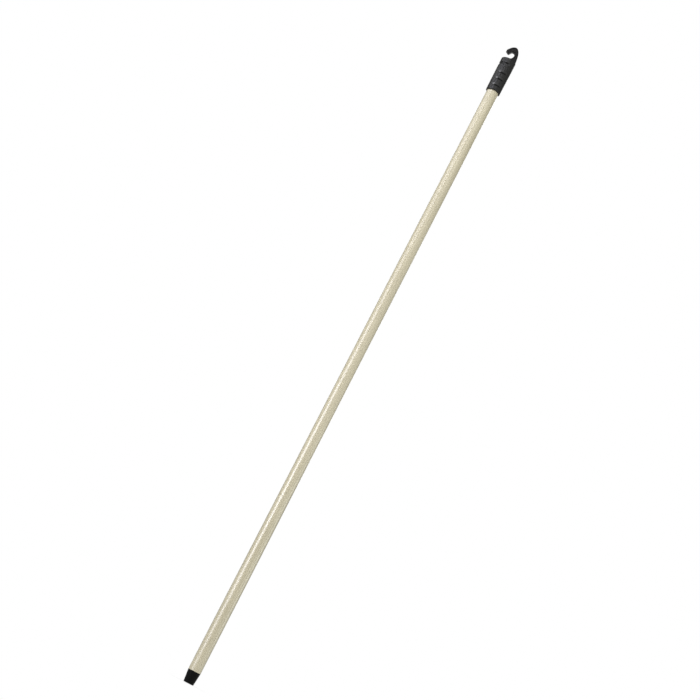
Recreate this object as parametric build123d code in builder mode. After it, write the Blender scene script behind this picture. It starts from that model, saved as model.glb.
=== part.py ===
from build123d import *
from math import cos, radians, sin
import os

# Plastic-coated steel handle for a paint roller: a fixed-length pole with a
# moulded hanging grip on its top end and a tapered plug in its bottom end.
#
# Frame: the origin is the centre of the tip's flat bottom face, +Z runs up the
# pole to the hook. The hook lies in the XZ plane: its stem stands on the +X
# side and its mouth opens towards -X. All dimensions are in millimetres.

# ------------------------------------------------------------ overall sizes
POLE_LENGTH = 1250.0          # tip's bottom face to the crest of the hook
SHAFT_D = 22.0                # outside diameter over the plastic coating
COATING_T = 0.35              # thickness of the extruded plastic coating
STEEL_T = 0.50                # wall of the welded steel tube
SHAFT_R = SHAFT_D / 2
STEEL_R = SHAFT_R - COATING_T
BORE_R = STEEL_R - STEEL_T

TIP_H = 21.2                  # visible cone, bottom face to tube end
HOOK_H = 28.45                # shoulder to crest
GRIP_H = 68.15                # length of the moulded grip
SHOULDER_Z = POLE_LENGTH - HOOK_H
GRIP_Z = SHOULDER_Z - GRIP_H  # mouth of the grip

CAP_TOP_T = 6.5               # solid top above the socket
SOCKET_GAP = 0.5              # gap above the end of the tube
SOCKET_TOP = SHOULDER_Z - CAP_TOP_T
TUBE_LENGTH = SOCKET_TOP - SOCKET_GAP - TIP_H

# ------------------------------------------------ steel tube and its coating
CRIMP_Z = 36.2                # height of the three punched dimples
CRIMP_COUNT = 3
CRIMP_ANGLE = -60.0           # bearing of the first dimple, from +X
CRIMP_CENTRE_R = 11.5         # punch centre, measured from the pole's axis
CRIMP_PUNCH_R = 1.6           # radius of the dimple in the coating
BORE_OVERRUN = 1.0            # the bore's cutter passes both tube ends


def crimped_rod(radius, punch_radius, overrun=0.0):
    """Solid rod along the tube, with the crimps punched into it."""
    with BuildPart() as rod:
        with BuildSketch(Plane.XY.offset(TIP_H - overrun)):
            Circle(radius)
        extrude(amount=TUBE_LENGTH + 2 * overrun)
        with Locations((0, 0, CRIMP_Z)):
            with PolarLocations(CRIMP_CENTRE_R, CRIMP_COUNT, start_angle=CRIMP_ANGLE):
                Sphere(punch_radius, mode=Mode.SUBTRACT)
    return rod.part


def crimped_tube(outer_radius, wall, punch_radius):
    """Tube whose wall follows the crimps, so each leaves a bump in the bore."""
    bore = crimped_rod(outer_radius - wall, punch_radius + wall, BORE_OVERRUN)
    body = crimped_rod(outer_radius, punch_radius)
    with BuildPart() as tube:
        add(body)
        add(bore, mode=Mode.SUBTRACT)
    return tube.part


# -------------------------------------------------------------- tapered tip
TIP_END_R = 8.8               # radius of the flat bottom face's edge
TIP_EDGE_R = 0.6              # rounding of the bottom edge
TIP_FLOOR = 4.0               # solid thickness at the end face

PLUG_R = 9.95                 # shank inside the tube
PLUG_TOP = 60.0               # top of the shank
PLUG_LEAD_H = 2.5             # taper round the top of the shank
PLUG_LEAD_INSET = 1.2

CORE_R = 6.4                  # coring that keeps the wall even
CORE_FLARE = 0.3              # widening at the core's mouth
CORE_FLARE_H = 1.0
CORE_TAPER = 0.6              # narrowing down to the floor

WAIST_R = 8.75                # waist that the crimps snap into
WAIST_H = 7.0
WAIST_RAMP_H = 1.0            # slope at each end of the waist
WAIST_LOW = CRIMP_Z - WAIST_H / 2
WAIST_HIGH = CRIMP_Z + WAIST_H / 2

PLUG_RIBS = 6
PLUG_RIB_R = BORE_R - 0.05    # crush ribs bear on the tube's bore
PLUG_RIB_W = 1.4
PLUG_RIB_ROOT = 0.6           # depth of the ribs' centres in the shank
PLUG_RIB_SPANS = (            # bottom and top of the ribs, above and below the waist
    (WAIST_HIGH + WAIST_RAMP_H, PLUG_TOP - 4.0),
    (TIP_H, WAIST_LOW - WAIST_RAMP_H),
)


def make_tapered_tip():
    with BuildPart() as tip:
        with BuildSketch(Plane.XZ):
            with BuildLine():
                Polyline(
                    (0, 0),
                    (TIP_END_R, 0),
                    (SHAFT_R, TIP_H),
                    (PLUG_R, TIP_H),
                    (PLUG_R, WAIST_LOW - WAIST_RAMP_H),
                    (WAIST_R, WAIST_LOW),
                    (WAIST_R, WAIST_HIGH),
                    (PLUG_R, WAIST_HIGH + WAIST_RAMP_H),
                    (PLUG_R, PLUG_TOP - PLUG_LEAD_H),
                    (PLUG_R - PLUG_LEAD_INSET, PLUG_TOP),
                    (CORE_R + CORE_FLARE, PLUG_TOP),
                    (CORE_R, PLUG_TOP - CORE_FLARE_H),
                    (CORE_R - CORE_TAPER, TIP_FLOOR),
                    (0, TIP_FLOOR),
                    close=True,
                )
            make_face()
        revolve(axis=Axis.Z)
        rims = tip.edges().filter_by(GeomType.CIRCLE).sort_by(Axis.Z)
        fillet(rims[0], radius=TIP_EDGE_R)

        rib_centre_r = PLUG_R - PLUG_RIB_ROOT
        with PolarLocations(rib_centre_r, PLUG_RIBS):
            for low, high in PLUG_RIB_SPANS:
                with Locations((0, 0, (low + high) / 2)):
                    Box(2 * (PLUG_RIB_R - rib_centre_r), PLUG_RIB_W, high - low)
    return tip.part


# --------------------------------------------------------------------- hook
# Outlines are (x, height above the shoulder) in the XZ plane.
HOOK_W = 9.6                  # width of the hook's band along Y
HOOK_EDGE_R = 1.25
HOOK_END_R = 1.5              # corners of the free end
EYE_X, EYE_Z, EYE_R = 1.0, 15.1, 3.7   # round seat of the hook
SEAT_ARC = 146.41             # the round seat runs out tangent to the free end
RECESS_DEPTH = 0.9            # coring on both faces of the band
RECESS_RIM = 1.9              # width of the rims left around the coring
RECESS_CORNER_R = 0.7

# Outer edge, from inside the grip up the stem and over to the free end.
OUTER = [
    (12.90, -4.0), (12.75, 1.5), (12.35, 5.8), (11.60, 11.5), (10.45, 17.3),
    (8.20, 23.0), (5.40, 26.7), (1.90, HOOK_H - 0.035), (-2.10, 27.4),
    (-5.95, 24.8), (-9.05, 21.1), (-11.25, 18.2), (-12.60, 15.8),
]
END_LOW = (-5.80, 11.55)      # lower corner of the hook's free end
# Inner edge of the stem, from its foot up to the seat.
THROAT = [
    (-5.6, 0.6), (-1.7, 3.1), (0.7, 4.85), (2.7, 6.9), (3.9, 9.3),
    (EYE_X + EYE_R, EYE_Z),
]
# Matching points across the band, outer edge then inner edge, for the coring.
ACROSS = [
    ((12.05, 8.3), (3.50, 8.3)),
    ((11.60, 11.5), (4.45, 11.5)),
    ((10.45, 17.3), (4.43, 16.5)),
    ((8.20, 23.0), (3.63, 17.7)),
    ((5.40, 26.7), (2.56, 18.45)),
    ((1.90, 28.4), (1.13, 18.80)),
    ((-2.10, 27.4), (-0.27, 18.58)),
    ((-5.95, 24.8), (-1.38, 17.93)),
    ((-8.85, 21.4), (-2.64, 16.30)),
]
SHOULDER_XZ = Plane(origin=(0, 0, SHOULDER_Z), x_dir=(1, 0, 0), z_dir=(0, -1, 0))


def across_point(start, end, distance):
    """Point at a distance from start, on the line from start to end."""
    a, b = Vector(*start), Vector(*end)
    return a + (b - a).normalized() * distance


def make_hook():
    with BuildPart() as hook:
        with BuildSketch(SHOULDER_XZ) as outline:
            with BuildLine():
                outer = Spline(*OUTER, tangents=((0, 1), (-0.6, -0.8)))
                Line(outer @ 1, END_LOW)
                seat = CenterArc((EYE_X, EYE_Z), EYE_R, start_angle=0, arc_size=SEAT_ARC)
                Line(END_LOW, seat @ 1)
                throat = Spline(*THROAT, tangents=((1, 0.55), (0, 1)))
                Polyline(throat @ 0, (THROAT[0][0], OUTER[0][1]), outer @ 0)
            make_face()
            free_end = outline.vertices().sort_by(Axis.X)[:2]
            fillet(free_end, radius=HOOK_END_R)
        extrude(amount=HOOK_W / 2, both=True)

        # edges of both flat faces, leaving out those buried in the grip
        rim_edges = (
            hook.edges()
            .filter_by(lambda e: abs(abs((e @ 0.5).Y) - HOOK_W / 2) < 1e-4)
            .filter_by(lambda e: (e @ 0.5).Z > SHOULDER_Z)
        )
        fillet(rim_edges, radius=HOOK_EDGE_R)

        for side in (1, -1):
            with BuildSketch(SHOULDER_XZ.offset(side * HOOK_W / 2)) as recess:
                with BuildLine():
                    upper = Spline(*[across_point(o, i, RECESS_RIM) for o, i in ACROSS])
                    lower = Spline(*[across_point(i, o, RECESS_RIM) for o, i in ACROSS])
                    Line(upper @ 0, lower @ 0)
                    Line(upper @ 1, lower @ 1)
                make_face()
                fillet(recess.vertices(), radius=RECESS_CORNER_R)
            extrude(amount=-side * RECESS_DEPTH, mode=Mode.SUBTRACT)
    return hook.part


# ---------------------------------------------------------- grip's main body
GRIP_R_TOP = 13.85
GRIP_R_LOW = 13.35
GRIP_R_LIP = GRIP_R_LOW + 0.05
TAPER_TOP_Z = SHOULDER_Z - 8.0         # straight above, tapering below
LIP_Z = GRIP_Z + 4.0                   # the taper changes here
SHOULDER_EDGE_R = 0.9
MOUTH_EDGE_R = 1.65                    # soft lip round the mouth

# ---------------------------------------------------- half-round anti-slip ribs
BAR_Z = (-30.5, -43.7, -56.8)          # heights from the shoulder
BAR_W = 17.2
BAR_H = 4.6
BAR_PROUD = 1.8
BAR_CROWN_R = 1.7                      # rounding that makes the rib half-round
BAR_START_Y = 9.0                      # distance from the axis, inside the grip
BAR_LENGTH = 8.0                       # length before trimming to the barrel


def make_front_bars():
    """Ribs on the front (-Y) face of the grip."""
    with BuildPart() as bars:
        with BuildSketch(Plane.XZ.offset(BAR_START_Y)):
            with Locations(*[(0, SHOULDER_Z + z) for z in BAR_Z]):
                SlotOverall(BAR_W, BAR_H)
        extrude(amount=BAR_LENGTH)
        # trim to a barrel that stands proud of the grip
        with BuildSketch(Plane.XZ):
            with BuildLine():
                Polyline(
                    (0, TAPER_TOP_Z),
                    (GRIP_R_TOP + BAR_PROUD, TAPER_TOP_Z),
                    (GRIP_R_LIP + BAR_PROUD, LIP_Z),
                    (0, LIP_Z),
                    close=True,
                )
            make_face()
        revolve(axis=Axis.Z, mode=Mode.INTERSECT)
        crown_edges = ShapeList(
            [e for f in bars.faces().filter_by(GeomType.CONE) for e in f.edges()]
        )
        fillet(crown_edges, radius=BAR_CROWN_R)
    return bars.part


# ------------------------------------------------- thumb groove, on the -X side
GROOVE_Z = SHOULDER_Z - 12.7
GROOVE_DEPTH = 1.5
GROOVE_TUBE_R = 2.8
GROOVE_BODY_R = GRIP_R_TOP - 0.04      # radius of the grip at the groove
GROOVE_RING_R = GROOVE_BODY_R - GROOVE_DEPTH + GROOVE_TUBE_R
GROOVE_ARC = 2 * 98.0                  # degrees, centred on -X
GROOVE_START = 180 - GROOVE_ARC / 2    # bearing of its first end, from +X
GROOVE_COS, GROOVE_SIN = cos(radians(GROOVE_START)), sin(radians(GROOVE_START))
GROOVE_START_PLANE = Plane(
    origin=(0, 0, 0),
    x_dir=(GROOVE_COS, GROOVE_SIN, 0),
    z_dir=(GROOVE_SIN, -GROOVE_COS, 0),
)

# --------------------------------------- shallow upright flutes under the groove
FLUTE_COUNT = 20
FLUTE_Z = (SHOULDER_Z - 26.3, SHOULDER_Z - 19.9)
FLUTE_R = 2.4
FLUTE_DEPTH = 0.32
FLUTE_BODY_R = 13.73                   # radius of the grip at the flutes
FLUTE_RING_R = FLUTE_BODY_R - FLUTE_DEPTH + FLUTE_R
FLUTE_START = 360 / FLUTE_COUNT / 2    # half a pitch

# ------------------------------------------------------- socket for the tube
SOCKET_R = 11.25
SOCKET_CHAMFER = 0.35
SOCKET_RIBS = 6
SOCKET_RIB_R = SHAFT_R + 0.02          # inner face of the crush ribs
SOCKET_RIB_ROOT_R = SOCKET_R + 0.6     # outer face, sunk in the wall
SOCKET_RIB_W = 1.4
SOCKET_RIB_START = 30                  # bearing of the first rib
SOCKET_RIB_Z = GRIP_Z + 5.0            # bottom of the ribs


def make_hanging_cap():
    hook = make_hook()
    front_bars = make_front_bars()

    with BuildPart() as cap:
        # grip body: a barrel that flares slightly towards the shoulder
        with BuildSketch(Plane.XZ):
            with BuildLine():
                Polyline(
                    (0, SHOULDER_Z),
                    (GRIP_R_TOP, SHOULDER_Z),
                    (GRIP_R_TOP, TAPER_TOP_Z),
                    (GRIP_R_LIP, LIP_Z),
                    (GRIP_R_LOW, GRIP_Z),
                    (0, GRIP_Z),
                    close=True,
                )
            make_face()
        revolve(axis=Axis.Z)
        for index, radius in ((-1, SHOULDER_EDGE_R), (0, MOUTH_EDGE_R)):
            rims = cap.edges().filter_by(GeomType.CIRCLE).sort_by(Axis.Z)
            fillet(rims[index], radius=radius)

        # thumb groove: a round-bottomed arc with ball ends
        with BuildSketch(GROOVE_START_PLANE):
            with Locations((GROOVE_RING_R, GROOVE_Z)):
                Circle(GROOVE_TUBE_R)
        revolve(axis=Axis.Z, revolution_arc=GROOVE_ARC, mode=Mode.SUBTRACT)
        with Locations((0, 0, GROOVE_Z)):
            with PolarLocations(
                GROOVE_RING_R,
                2,
                start_angle=GROOVE_START,
                angular_range=GROOVE_ARC,
                endpoint=True,
            ):
                Sphere(GROOVE_TUBE_R, mode=Mode.SUBTRACT)

        # flutes, then their round ends
        with Locations((0, 0, sum(FLUTE_Z) / 2)):
            with PolarLocations(FLUTE_RING_R, FLUTE_COUNT, start_angle=FLUTE_START):
                Cylinder(FLUTE_R, FLUTE_Z[1] - FLUTE_Z[0], mode=Mode.SUBTRACT)
        for end_z in FLUTE_Z:
            with Locations((0, 0, end_z)):
                with PolarLocations(FLUTE_RING_R, FLUTE_COUNT, start_angle=FLUTE_START):
                    Sphere(FLUTE_R, mode=Mode.SUBTRACT)

        # anti-slip ribs on the front and the back, then the hook
        add(front_bars)
        add(front_bars.mirror(Plane.XZ))
        add(hook)

        # the socket comes after the hook, so that it also trims the hook's foot
        with BuildSketch(Plane.XY.offset(GRIP_Z)):
            Circle(SOCKET_R)
        extrude(amount=SOCKET_TOP - GRIP_Z, mode=Mode.SUBTRACT)
        mouth = (
            cap.edges()
            .filter_by(GeomType.CIRCLE)
            .filter_by(lambda e: abs(e.radius - SOCKET_R) < 0.01)
            .sort_by(Axis.Z)[0]
        )
        chamfer(mouth, length=SOCKET_CHAMFER)

        # crush ribs that hold the cap on the tube
        rib_centre_r = (SOCKET_RIB_R + SOCKET_RIB_ROOT_R) / 2
        with Locations((0, 0, (SOCKET_RIB_Z + SOCKET_TOP) / 2)):
            with PolarLocations(rib_centre_r, SOCKET_RIBS, start_angle=SOCKET_RIB_START):
                Box(SOCKET_RIB_ROOT_R - SOCKET_RIB_R, SOCKET_RIB_W, SOCKET_TOP - SOCKET_RIB_Z)
    return cap.part


# ------------------------------------------------------------------- export
parts = {
    "steel_tube": crimped_tube(STEEL_R, STEEL_T, CRIMP_PUNCH_R + COATING_T),
    "plastic_sleeve": crimped_tube(SHAFT_R, COATING_T, CRIMP_PUNCH_R),
    "tapered_tip": make_tapered_tip(),
    "hanging_cap": make_hanging_cap(),
}

os.makedirs("parts", exist_ok=True)
for name, part in parts.items():
    part.label = name
    export_step(part, f"parts/{name}.step")
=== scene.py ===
# A slim coated-steel pole, standing upright along +Z: a tapered plug at its foot, a black grip
# with a hanging hook at its head. The camera looks along +Y, so -X is to its left.
import math

import bpy
import numpy as np
from mathutils import Matrix, Vector

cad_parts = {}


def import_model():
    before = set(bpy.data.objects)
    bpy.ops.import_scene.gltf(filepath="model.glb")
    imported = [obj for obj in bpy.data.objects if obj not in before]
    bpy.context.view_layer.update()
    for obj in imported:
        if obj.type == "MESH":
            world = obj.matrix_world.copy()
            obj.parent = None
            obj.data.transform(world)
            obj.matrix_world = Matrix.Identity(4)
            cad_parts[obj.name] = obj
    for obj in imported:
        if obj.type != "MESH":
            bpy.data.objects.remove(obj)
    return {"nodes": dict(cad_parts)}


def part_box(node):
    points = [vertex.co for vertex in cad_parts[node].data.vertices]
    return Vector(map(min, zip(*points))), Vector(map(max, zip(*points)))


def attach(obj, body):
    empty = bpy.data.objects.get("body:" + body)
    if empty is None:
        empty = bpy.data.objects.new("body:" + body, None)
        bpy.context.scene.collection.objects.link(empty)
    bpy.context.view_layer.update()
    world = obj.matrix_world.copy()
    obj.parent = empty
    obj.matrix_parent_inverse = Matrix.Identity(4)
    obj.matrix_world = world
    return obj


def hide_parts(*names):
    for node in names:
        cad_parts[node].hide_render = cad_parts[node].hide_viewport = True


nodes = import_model()["nodes"]
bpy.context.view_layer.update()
sleeve_lo, sleeve_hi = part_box("plastic_sleeve")
cap_lo, cap_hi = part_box("hanging_cap")

MM = 0.001

# Shaft: a steel tube inside a thin coating, both over the same length
SLEEVE_R = max(sleeve_hi.x, sleeve_hi.y)
TUBE_Z0, TUBE_Z1 = sleeve_lo.z, sleeve_hi.z
COAT_THICK = 0.35 * MM
STEEL_THICK = 0.5 * MM
STEEL_R = SLEEVE_R - COAT_THICK
BORE_R = STEEL_R - STEEL_THICK
CLEARANCE = 0.004 * MM  # each tube stands this far off their shared radius

# Three punched dimples around the foot of the shaft
CRIMP_Z = TUBE_Z0 + 15.0 * MM
CRIMP_ANGLES = [math.radians(a) for a in (-60.0, 60.0, 180.0)]
CRIMP_BAND = 4.2 * MM  # half height of the finely divided band
# (depth mm, radius mm, falloff power): a sharp pit and a soft skirt
CRIMP_SHAPE = ((1.0, 1.18, 3.0), (0.10, 3.0, 2))

# Slow waviness of the drawn wall:
# (height mm, lobes around, twist per metre, swell per metre, swell phase)
WALL_WAVES = ((0.012, 3, 41.0, 63.0, 1.3), (0.010, 2, -17.0, 117.0, 0.0))

# Heights of the shaft's rows: (start, stop, step)
ROW_RUNS = (
    (TUBE_Z0 + 1.0 * MM, CRIMP_Z - CRIMP_BAND, 1.5 * MM),
    (CRIMP_Z - CRIMP_BAND, CRIMP_Z + CRIMP_BAND, 0.3 * MM),
    (CRIMP_Z + 4.5 * MM, CRIMP_Z + 20 * MM, 2.5 * MM),
    (CRIMP_Z + 22 * MM, TUBE_Z1 - 2 * MM, 6.0 * MM),
)


# ---------------------------------------------------------------- meshes
def new_object(name, verts, faces):
    mesh = bpy.data.meshes.new(name)
    mesh.from_pydata([tuple(v) for v in verts], [], faces)
    mesh.validate()
    mesh.polygons.foreach_set("use_smooth", [True] * len(mesh.polygons))
    mesh.update()
    obj = bpy.data.objects.new(name, mesh)
    bpy.context.scene.collection.objects.link(obj)
    return obj


def claim(obj, node):
    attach(obj, "root")
    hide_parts(node)


def crimp_depth(theta, z):
    """How far the dimples draw the wall in."""
    depth = np.zeros_like(theta)
    for angle in CRIMP_ANGLES:
        turn = (theta - angle + math.pi) % (2 * math.pi) - math.pi
        dist = np.sqrt((SLEEVE_R * turn) ** 2 + (z - CRIMP_Z) ** 2) / MM
        for deep, radius, power in CRIMP_SHAPE:
            depth += deep * np.exp(-((dist / radius) ** power))
    return depth * MM


def wall_radius(r, theta, z):
    wave = sum(
        height * np.sin(lobes * theta + twist * z) * math.sin(swell * z + phase)
        for height, lobes, twist, swell, phase in WALL_WAVES
    )
    return r + wave * MM - crimp_depth(theta, z)


def tube_rows(r_out, r_in, lip):
    """Closed section of a tube as (r, z) rows, with its end lips rounded by lip."""
    heights = [TUBE_Z0 + lip]
    for start, stop, step in ROW_RUNS:
        heights += list(np.arange(start, stop, step))
    heights.append(TUBE_Z1 - lip)
    ease = lip * 0.3
    outer = [(r_out, z) for z in heights]
    top = [
        (r_out - ease, TUBE_Z1 - ease),
        (r_out - lip, TUBE_Z1),
        (r_in + lip, TUBE_Z1),
        (r_in + ease, TUBE_Z1 - ease),
    ]
    inner = [(r_in, z) for z in reversed(heights)]
    foot = [
        (r_in + ease, TUBE_Z0 + ease),
        (r_in + lip, TUBE_Z0),
        (r_out - lip, TUBE_Z0),
        (r_out - ease, TUBE_Z0 + ease),
    ]
    return outer + top + inner + foot


def tube(name, r_out, r_in, lip, around):
    """The tube's section turned about Z, with the wall's waves and dimples."""
    rows = tube_rows(r_out, r_in, lip)
    theta = np.arange(around) * 2 * math.pi / around
    verts = []
    for row_r, z in rows:
        r = wall_radius(row_r, theta, z)
        verts.append(np.stack([r * np.cos(theta), r * np.sin(theta), np.full(around, z)], 1))
    faces = []
    for i in range(len(rows)):
        here, after = i * around, (i + 1) % len(rows) * around
        for k in range(around):
            m = (k + 1) % around
            faces.append((here + k, here + m, after + m, after + k))
    return new_object(name, np.concatenate(verts), faces)


def moulding(node, name, voxel):
    """One closed, evenly meshed skin that lies on the CAD node's surface."""
    obj = bpy.data.objects.new(name, nodes[node].data.copy())
    bpy.context.scene.collection.objects.link(obj)
    obj.data.materials.clear()
    skin = obj.modifiers.new("skin", "REMESH")
    skin.mode = "VOXEL"
    skin.voxel_size = voxel
    skin.use_smooth_shade = True
    soften = obj.modifiers.new("soften", "SMOOTH")
    soften.factor = 0.5
    soften.iterations = 1
    seat = obj.modifiers.new("seat", "SHRINKWRAP")
    seat.target = nodes[node]
    seat.wrap_method = "NEAREST_SURFACEPOINT"
    polish = obj.modifiers.new("polish", "SMOOTH")
    polish.factor = 0.35
    polish.iterations = 1
    graph = bpy.context.evaluated_depsgraph_get()
    mesh = bpy.data.meshes.new_from_object(obj.evaluated_get(graph), depsgraph=graph)
    obj.modifiers.clear()
    obj.data = mesh
    mesh.name = name
    mesh.polygons.foreach_set("use_smooth", [True] * len(mesh.polygons))
    return obj


sleeve = tube("shaft_coating", SLEEVE_R, STEEL_R + CLEARANCE, lip=0.10 * MM, around=160)
claim(sleeve, "plastic_sleeve")
steel = tube("shaft_steel", STEEL_R - CLEARANCE, BORE_R, lip=0.08 * MM, around=128)
claim(steel, "steel_tube")
cap = moulding("hanging_cap", "grip_cap", voxel=0.43 * MM)
tip = moulding("tapered_tip", "tip_plug", voxel=0.35 * MM)
claim(cap, "hanging_cap")
claim(tip, "tapered_tip")


# ------------------------------------------------------------- materials
class Shader:
    """A material around one Principled shader, textured in object coordinates (metres)."""

    def __init__(self, name):
        self.mat = bpy.data.materials.new(name)
        self.mat.use_nodes = True
        self.tree = self.mat.node_tree
        self.tree.nodes.clear()
        self.out = self.node("OutputMaterial")
        self.bsdf = self.node("BsdfPrincipled")
        self.feed(self.out.inputs[0], self.bsdf.outputs[0])
        self.coord = self.node("TexCoord").outputs["Object"]

    def node(self, kind):
        return self.tree.nodes.new("ShaderNode" + kind)

    def feed(self, socket, value):
        """Link a socket, or set it to a number or an RGB colour."""
        if isinstance(value, bpy.types.NodeSocket):
            self.tree.links.new(value, socket)
        elif isinstance(value, tuple):
            socket.default_value = (*value, 1.0)
        else:
            socket.default_value = value

    def set(self, name, value):
        self.feed(self.bsdf.inputs[name], value)

    def noise(self, z_scale, scale, detail, rough=0.5):
        """Noise; a z_scale below 1 stretches it along the pole."""
        mapping = self.node("Mapping")
        mapping.inputs["Scale"].default_value = (1, 1, z_scale)
        self.feed(mapping.inputs["Vector"], self.coord)
        noise = self.node("TexNoise")
        noise.inputs["Scale"].default_value = scale
        noise.inputs["Detail"].default_value = detail
        noise.inputs["Roughness"].default_value = rough
        self.feed(noise.inputs["Vector"], mapping.outputs["Vector"])
        return noise.outputs["Fac"]

    def math(self, operation, a, b):
        node = self.node("Math")
        node.operation = operation
        self.feed(node.inputs[0], a)
        self.feed(node.inputs[1], b)
        return node.outputs[0]

    def times(self, value, by):
        return self.math("MULTIPLY", value, by)

    def remap(self, value, span, to=(0, 1), smooth=False):
        node = self.node("MapRange")
        if smooth:
            node.interpolation_type = "SMOOTHSTEP"
        for key, number in zip(("From Min", "From Max", "To Min", "To Max"), (*span, *to)):
            node.inputs[key].default_value = number
        self.feed(node.inputs["Value"], value)
        return node.outputs["Result"]

    def mix(self, factor, a, b):
        node = self.node("Mix")
        node.data_type = "RGBA"
        self.feed(node.inputs["Factor"], factor)
        # sockets 6, 7 and output 2 are the colour ones
        self.feed(node.inputs[6], a)
        self.feed(node.inputs[7], b)
        return node.outputs[2]

    def xyz(self, vector):
        node = self.node("SeparateXYZ")
        self.feed(node.inputs[0], vector)
        return node.outputs

    def bump(self, height, distance, strength):
        node = self.node("Bump")
        node.inputs["Distance"].default_value = distance
        node.inputs["Strength"].default_value = strength
        self.feed(node.inputs["Height"], height)
        self.set("Normal", node.outputs[0])


def coating_material():
    m = Shader("cream_coating")
    streaks = m.noise(z_scale=0.012, scale=900, detail=3, rough=0.6)  # lines along the tube
    broad = m.noise(z_scale=0.18, scale=60, detail=2)  # slow shade drift
    mottle = m.noise(z_scale=0.5, scale=420, detail=3, rough=0.6)
    drift = m.remap(broad, span=(0.35, 0.65), smooth=True)
    base = m.mix(drift, (0.670, 0.606, 0.424), (0.716, 0.651, 0.464))
    pale = m.remap(streaks, span=(0.35, 0.7), to=(0, 0.35))
    base = m.mix(pale, base, (0.790, 0.735, 0.545))
    dark = m.remap(mottle, span=(0.45, 0.8), to=(0, 0.25))
    base = m.mix(dark, base, (0.624, 0.559, 0.365))
    # a little handling grime just below the grip and above the tip
    z = m.xyz(m.coord)[2]
    grime_top = m.remap(z, span=(cap_lo.z - 0.055, cap_lo.z - 0.002), smooth=True)
    grime_low = m.remap(z, span=(TUBE_Z0 + 0.012, TUBE_Z0), smooth=True)
    smudge = m.noise(z_scale=0.6, scale=260, detail=4, rough=0.65)
    grime = m.times(
        m.math("MAXIMUM", grime_top, grime_low),
        by=m.remap(smudge, span=(0.42, 0.75), to=(0, 0.35)),
    )
    m.set("Base Color", m.mix(grime, base, (0.458, 0.405, 0.279)))
    # fine lengthwise scuffs and the grime roughen the surface
    scuff = m.noise(z_scale=0.05, scale=2600, detail=2)
    rough = m.math(
        "ADD",
        m.remap(mottle, span=(0.3, 0.8), to=(0.21, 0.27)),
        m.remap(scuff, span=(0.62, 0.8), to=(0, 0.08)),
    )
    m.set("Roughness", m.math("ADD", rough, m.times(grime, by=0.35)))
    m.set("IOR", 1.5)
    m.set("Specular IOR Level", 1.0)
    m.set("Coat Weight", 1.0)
    m.set("Coat IOR", 1.57)
    m.set("Coat Roughness", 0.24)
    ripple = m.noise(z_scale=0.006, scale=520, detail=1, rough=0.4)
    m.bump(ripple, distance=0.003 * MM, strength=0.4)
    return m.mat


def steel_material():
    m = Shader("bare_steel")
    draw = m.noise(z_scale=0.01, scale=2200, detail=3, rough=0.6)  # drawing lines
    blot = m.noise(z_scale=0.4, scale=180, detail=3, rough=0.6)
    base = m.mix(m.remap(draw, span=(0.3, 0.7)), (0.47, 0.48, 0.49), (0.60, 0.61, 0.62))
    stain = m.remap(blot, span=(0.55, 0.8), to=(0, 0.4))
    m.set("Base Color", m.mix(stain, base, (0.36, 0.34, 0.32)))
    m.set("Metallic", 1.0)
    m.set("Roughness", m.remap(draw, span=(0.3, 0.7), to=(0.28, 0.42)))
    m.bump(draw, distance=0.01 * MM, strength=0.6)
    return m.mat


# The grip's finish, with painted shade and a painted highlight
HOOK_SHADE_Z = (cap_hi.z - 30.55 * MM, cap_hi.z - 29.45 * MM)  # painted shade on the hook: its duller finish fades in here
HOOK_SHADE_BASE = (0.0085, 0.0085, 0.0090)
HOOK_SHADE_SPECULAR = 0.28
RIB_HIGHLIGHT_R = (13.9 * MM, 14.4 * MM)  # painted highlight on the rib ends: distance from the axis where it starts, is full
RIB_HIGHLIGHT_X = (-3.4 * MM, -5.2 * MM)  # and how far to -X


def grip_finish(m, geometry, cloud, worn, hollow, base, edge, specular):
    """The grip's base colour and specular level, varied over its height and its ribs, with
    painted shade on the hook, undersides and creases and a painted highlight on the rib ends.
    """
    # painted shade: the hook and the edge of the shoulder get a duller finish than the grip,
    # which darkens them
    hook_shade = m.remap(m.xyz(m.coord)[2], span=HOOK_SHADE_Z, smooth=True)
    wear = m.times(worn, by=0.5)
    hook_shade_and_wear = m.mix(wear, m.mix(cloud, HOOK_SHADE_BASE, tuple(1.35 * c for c in HOOK_SHADE_BASE)), edge)
    base = m.mix(hook_shade, base, hook_shade_and_wear)
    specular = m.remap(hook_shade, span=(0, 1), to=(specular, HOOK_SHADE_SPECULAR))
    # undersides and creases are less polished by hands than the rest
    # painted shade: undersides and creases get a lower specular level, which darkens them
    normal = m.xyz(geometry.outputs["Normal"])
    underside_shade = m.remap(normal["Z"], span=(-0.12, -0.55), to=(0, 0.75), smooth=True)
    # painted highlight: the ends of the raised ribs towards -X get a higher specular level
    x, y, _ = m.xyz(m.coord)
    r_squared = m.math("ADD", m.times(x, by=x), m.times(y, by=y))
    rib_end_highlight = m.remap(r_squared, span=[r**2 for r in RIB_HIGHLIGHT_R], smooth=True)
    rib_end_highlight = m.times(rib_end_highlight, by=m.remap(x, span=RIB_HIGHLIGHT_X, smooth=True))
    underside_shade = m.times(underside_shade, by=m.math("SUBTRACT", 1.0, rib_end_highlight))
    rib_highlight_gain = m.math("ADD", 1.0, m.times(rib_end_highlight, by=1.4))
    specular = m.times(specular, by=rib_highlight_gain)
    # painted shade, strongest on the undersides and in the creases
    painted_shade = m.math("MAXIMUM", underside_shade, m.times(hollow, by=0.7))
    polish = m.math("ADD", 1.0, m.times(worn, by=0.9))
    return base, m.times(specular, by=m.math("SUBTRACT", polish, painted_shade))


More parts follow.
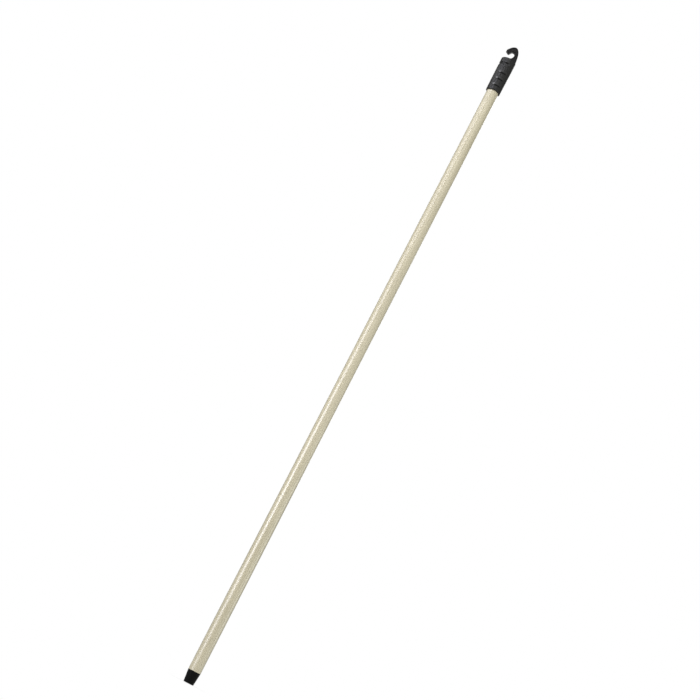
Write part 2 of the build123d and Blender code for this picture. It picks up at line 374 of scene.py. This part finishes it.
def black_material(name, dark, light, edge, rough, specular, grain, grain_depth, finish=None):
    """Black plastic, paler on worn edges; finish may vary its colour and specular level."""
    m = Shader(name)
    cloud = m.noise(z_scale=0.7, scale=140, detail=3, rough=0.6)
    speckle = m.noise(z_scale=1, scale=grain, detail=2, rough=0.6)
    base = m.mix(m.remap(cloud, span=(0.3, 0.7), smooth=True), dark, light)
    # patchy wear on convex edges
    geometry = m.node("NewGeometry")
    pointiness = geometry.outputs["Pointiness"]
    worn = m.remap(pointiness, span=(0.52, 0.62), smooth=True)
    rub = m.noise(z_scale=0.8, scale=700, detail=4, rough=0.65)
    worn = m.times(worn, by=m.remap(rub, span=(0.35, 0.6), to=(0.2, 1.0)))
    base = m.mix(m.times(worn, by=0.55), base, edge)
    # faint dust in the hollows
    hollow = m.remap(pointiness, span=(0.48, 0.42), smooth=True)
    dust = m.times(hollow, by=m.remap(rub, span=(0.4, 0.7), to=(0.0, 0.15)))
    base = m.mix(dust, base, (0.020, 0.019, 0.018))
    roughness = m.remap(cloud, span=(0.3, 0.7), to=rough)
    roughness = m.math("SUBTRACT", roughness, m.times(worn, by=0.10))
    if finish:
        base, specular = finish(m, geometry, cloud, worn, hollow, base, edge, specular)
    m.set("Base Color", base)
    m.set("Roughness", roughness)
    m.set("IOR", 1.5)
    m.set("Specular IOR Level", specular)
    m.bump(speckle, distance=grain_depth, strength=0.7)
    return m.mat


def grip_material():
    return black_material(
        "black_grip",
        dark=(0.0026, 0.0026, 0.0028),
        light=(0.0042, 0.0042, 0.0045),
        edge=(0.016, 0.016, 0.017),
        rough=(0.29, 0.39),
        specular=0.734,
        grain=3200,
        grain_depth=0.02 * MM,
        finish=grip_finish,
    )


def tip_material():
    return black_material(
        "black_tip",
        dark=(0.0028, 0.0028, 0.003),
        light=(0.0042, 0.0042, 0.0045),
        edge=(0.010, 0.010, 0.0105),
        rough=(0.36, 0.44),
        specular=0.105,
        grain=3600,
        grain_depth=0.015 * MM,
    )


for piece, material in (
    (sleeve, coating_material()),
    (steel, steel_material()),
    (cap, grip_material()),
    (tip, tip_material()),
):
    piece.data.materials.clear()
    piece.data.materials.append(material)


# ---------------------------------------------------------------- lights
def area(name, place, aim_z, width, height, radiance, colour=(1, 1, 1)):
    """Softbox aimed at the Z axis; radiance is what a mirror would show."""
    light = bpy.data.lights.new(name, "AREA")
    light.shape = "RECTANGLE"
    light.size, light.size_y = width, height
    light.energy = radiance * math.pi * width * height
    light.color = colour
    obj = bpy.data.objects.new(name, light)
    aim = Vector((0, 0, aim_z)) - Vector(place)
    obj.location = place
    obj.rotation_mode = "QUATERNION"
    obj.rotation_quaternion = aim.to_track_quat("-Z", "Y")
    obj.visible_camera = False
    bpy.context.scene.collection.objects.link(obj)


def polar(azimuth, distance, z):
    """Azimuth 0 is at -Y, towards the camera; negative is to the camera's left."""
    a = math.radians(azimuth)
    return (distance * math.sin(a), -distance * math.cos(a), z)


def column(name, azimuth, distance, width, bands, radiances, level, aim_z, colour=(1, 1, 1)):
    """Stacked panels: the lowest `level` of them face straight in, the rest aim at aim_z."""
    for i, ((low, high), radiance) in enumerate(zip(bands, radiances)):
        if radiance > 0:
            z = (low + high) / 2
            place = polar(azimuth, distance, z)
            target = z if i < level else aim_z
            area(f"{name}_{i}", place, target, width, high - low, radiance, colour)


# Panel heights (bottom, top), then by azimuth the radiance of each panel from low to high.
# A curved wall of upright strips on the left:
LEFT_BANDS = ((0.05, 0.30), (0.30, 0.70), (0.70, 1.15), (1.15, 1.70), (1.70, 2.60))
LEFT = {
    38: (1.97, 4.30, 3.06, 2.79, 3.45),
    50: (4.17, 4.80, 2.96, 0.00, 0.00),
    58: (1.27, 2.40, 2.97, 0.44, 0.82),
    68: (1.98, 1.72, 0.91, 2.59, 1.33),
    80: (0.00, 0.00, 0.00, 0.43, 1.41),
}
COOL = (1.0, 1.0, 1.10)
# wide, weaker softboxes on the right:
RIGHT_BANDS = ((0.05, 0.80), (0.80, 1.60), (1.60, 2.80))
RIGHT = {
    45: (0.87, 0.49, 0.29),
    65: (0.11, 0.40, 0.16),
    85: (1.68, 0.47, 0.09),
    110: (0.41, 0.26, 0.00),
}
WARM = (1.0, 1.0, 0.94)
# and fill from behind the camera:
FRONT_BANDS = ((1.10, 2.20), (2.20, 3.40))
FRONT = (0.62, 0.72)

for azimuth, radiances in LEFT.items():
    column(f"left_{azimuth}", -azimuth, 1.6, 0.26, LEFT_BANDS, radiances,
           level=3, aim_z=1.1, colour=COOL)
for azimuth, radiances in RIGHT.items():
    column(f"right_{azimuth}", azimuth, 1.9, 0.8, RIGHT_BANDS, radiances,
           level=2, aim_z=1.0, colour=WARM)
# the unlit lowest band keeps the lit panels' names front_1 and front_2
column("front", 8, 3.2, 1.8, ((0.30, 1.10), *FRONT_BANDS), (0.00, *FRONT), level=0, aim_z=0.6)
area("top_soft", (0.0, -0.2, 3.0), aim_z=0, width=2.2, height=2.2, radiance=0.60)
area("back_soft", (0.2, 2.4, 1.5), aim_z=0.7, width=2.0, height=1.6, radiance=1.30)

# Small softboxes on a dome around the grip: (azimuth, elevation, radiance)
GRIP_Z = 1.19
DOME_R = 1.8
GRIP_LIGHTS = ((-20, 45, 3.00), (-100, 30, 0.95), (-130, 60, 1.43), (170, 30, 1.37))
for azimuth, elevation, radiance in GRIP_LIGHTS:
    e = math.radians(elevation)
    place = polar(azimuth, DOME_R * math.cos(e), GRIP_Z + DOME_R * math.sin(e))
    area(f"grip_{azimuth}_{elevation}", place, GRIP_Z, 0.7, 0.7, radiance)


def studio_world():
    """White to the camera; to everything else a soft fill, brighter below the horizon."""
    world = bpy.data.worlds.new("studio")
    bpy.context.scene.world = world
    world.use_nodes = True
    tree = world.node_tree
    tree.nodes.clear()
    out, mix, seen, fill, path, sky, height, halves = (
        tree.nodes.new("ShaderNode" + kind)
        for kind in ("OutputWorld", "MixShader", "Background", "Background", "LightPath",
                     "TexCoord", "SeparateXYZ", "MapRange")
    )
    seen.inputs[0].default_value = (1, 1, 1, 1)
    fill.inputs[0].default_value = (1.0, 1.0, 0.95, 1)
    strengths = {"From Min": -0.05, "From Max": 0.05, "To Min": 0.66, "To Max": 0.21}
    for key, number in strengths.items():
        halves.inputs[key].default_value = number
    for source, target in (
        (sky.outputs["Generated"], height.inputs[0]),
        (height.outputs["Z"], halves.inputs["Value"]),
        (halves.outputs["Result"], fill.inputs[1]),
        (path.outputs["Is Camera Ray"], mix.inputs[0]),
        (fill.outputs[0], mix.inputs[1]),
        (seen.outputs[0], mix.inputs[2]),
        (mix.outputs[0], out.inputs[0]),
    ):
        tree.links.new(source, target)


studio_world()

# ----------------------------------------------------------------- floor
FLOOR_AROUND = 96
FLOOR_RADII = (0.05, 0.15, 0.3, 0.6, 1.0, 1.6, 2.4, 3.6, 5.5, 9.0, 16.0)
FLOOR_Z = -0.0002


def floor_material():
    """Pale floor that the camera sees fade to plain white away from the pole."""
    m = Shader("pale_floor")
    dist = m.node("VectorMath")
    dist.operation = "LENGTH"
    m.feed(dist.inputs[0], m.coord)
    far = m.remap(dist.outputs["Value"], span=(0.010, 0.05), to=(0.70, 1), smooth=True)
    cloud = m.remap(m.noise(z_scale=1, scale=30, detail=3), span=(0.3, 0.7))
    m.set("Base Color", m.mix(cloud, (0.90, 0.90, 0.895), (0.93, 0.93, 0.925)))
    m.set("Roughness", 0.6)
    m.set("Specular IOR Level", 0.2)
    glow = m.node("Emission")
    glow.inputs[0].default_value = (1, 1, 1, 1)
    path = m.node("LightPath")
    blend = m.node("MixShader")
    m.feed(blend.inputs[0], m.times(far, by=path.outputs["Is Camera Ray"]))
    m.feed(blend.inputs[1], m.bsdf.outputs[0])
    m.feed(blend.inputs[2], glow.outputs[0])
    m.feed(m.out.inputs[0], blend.outputs[0])
    return m.mat


def build_floor():
    """A disc: a fan at the centre, then rings."""
    n = FLOOR_AROUND
    verts = [(0.0, 0.0, 0.0)]
    for r in FLOOR_RADII:
        for k in range(n):
            a = 2 * math.pi * k / n
            verts.append((r * math.cos(a), r * math.sin(a), 0.0))
    faces = [(0, 1 + k, 1 + (k + 1) % n) for k in range(n)]
    for i in range(len(FLOOR_RADII) - 1):
        for k in range(n):
            a, b = 1 + i * n + k, 1 + i * n + (k + 1) % n
            faces.append((a, a + n, b + n, b))
    floor = new_object("floor", verts, faces)
    floor.location.z = FLOOR_Z
    floor.visible_glossy = False
    floor.visible_diffuse = False
    floor.data.materials.append(floor_material())


build_floor()

# ---------------------------------------------------------------- camera
PITCH, YAW, ROLL = (math.radians(a) for a in (13.15323, -0.34450, 27.32905))
CAMERA_PLACE = Vector((0.0, -2.50242, 0.028846))

forward = Vector((
    math.sin(YAW) * math.cos(PITCH),
    math.cos(YAW) * math.cos(PITCH),
    math.sin(PITCH),
))
level_right = forward.cross(Vector((0, 0, 1))).normalized()
level_up = level_right.cross(forward)
right = level_right * math.cos(ROLL) + level_up * math.sin(ROLL)
up = -level_right * math.sin(ROLL) + level_up * math.cos(ROLL)

lens = bpy.data.cameras.new("camera")
lens.sensor_width = 36.0
lens.lens = 77.474
lens.clip_start, lens.clip_end = 0.05, 60
camera = bpy.data.objects.new("camera", lens)
rows = zip(right, up, -forward, CAMERA_PLACE)
camera.matrix_world = Matrix((*rows, (0, 0, 0, 1)))
scene = bpy.context.scene
scene.collection.objects.link(camera)
scene.camera = camera
scene.view_settings.view_transform = "Standard"
scene.view_settings.look = "None"
